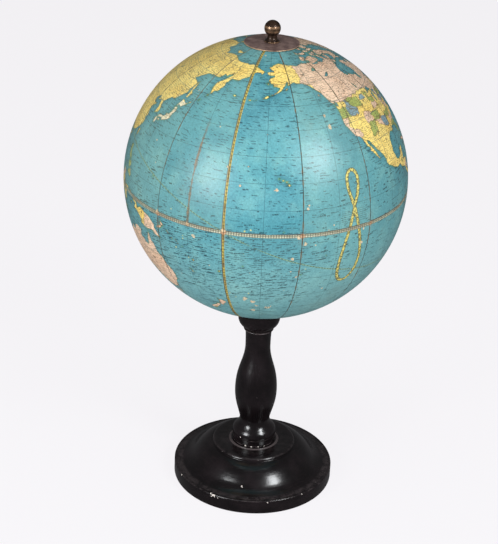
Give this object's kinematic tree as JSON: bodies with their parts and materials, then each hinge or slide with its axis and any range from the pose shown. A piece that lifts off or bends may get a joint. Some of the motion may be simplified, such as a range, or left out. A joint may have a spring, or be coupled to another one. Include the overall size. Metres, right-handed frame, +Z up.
{
  "type": "desktop globe on stand",
  "caption": "World globe that turns on an upright rod through a turned baluster stand with a round domed base, held by a metal disc and a ball knob.",
  "frame": {"origin": "centre of the resting face, under the felt foot", "axes": "+Z up along the rod; the map's meridian of 165 degrees west faces -Y, and east on the map is towards +X there"},
  "size_m": [0.3048, 0.3048, 0.5476],
  "materials": {
    "ebonised_wood": "ebonised black lacquer, semi-gloss, worn brown at the edges",
    "bare_wood": "turned and left bare",
    "printed_paper": "printed map paper under yellowed satin varnish",
    "pasteboard": "pressed and unfinished",
    "bronze": "dark bronze patina over brass, worn at the edges",
    "brass": "plain, dull",
    "steel": "plain, dull",
    "felt": "pressed wool felt"
  },
  "bodies": {
    "stand": {"base": "ebonised_wood", "stem": "ebonised_wood", "cup": "ebonised_wood", "foot_felt": "felt", "seat_felt": "felt", "rod": "steel", "base_nut": "steel", "base_washer": "steel", "cup_nut": "steel", "cup_washer": "steel", "polar_disc": "bronze", "top_felt": "felt"},
    "ball": {"shell_north": "pasteboard", "shell_south": "pasteboard", "equator_hoop": "pasteboard", "core_tube": "pasteboard", "pole_block_north": "bare_wood", "pole_block_south": "bare_wood", "pole_bush_north": "brass", "pole_bush_south": "brass", "gore_north_01": "printed_paper", "gore_north_02": "printed_paper", "gore_north_03": "printed_paper", "gore_north_04": "printed_paper", "gore_north_05": "printed_paper", "gore_north_06": "printed_paper", "gore_north_07": "printed_paper", "gore_north_08": "printed_paper", "gore_north_09": "printed_paper", "gore_north_10": "printed_paper", "gore_north_11": "printed_paper", "gore_north_12": "printed_paper", "gore_south_01": "printed_paper", "gore_south_02": "printed_paper", "gore_south_03": "printed_paper", "gore_south_04": "printed_paper", "gore_south_05": "printed_paper", "gore_south_06": "printed_paper", "gore_south_07": "printed_paper", "gore_south_08": "printed_paper", "gore_south_09": "printed_paper", "gore_south_10": "printed_paper", "gore_south_11": "printed_paper", "gore_south_12": "printed_paper"},
    "knob": {"knob": "bronze"}
  },
  "joints": [
    {"name": "ball_spin", "type": "hinge", "parent": "stand", "child": "ball", "pos_m": [0, 0, 0.373], "axis": [0, 0, 1], "continuous": true},
    {"name": "knob_turn", "type": "hinge", "parent": "stand", "child": "knob", "pos_m": [0, 0, 0.536], "axis": [0, 0, 1], "range_deg": [0, 360]}
  ]
}
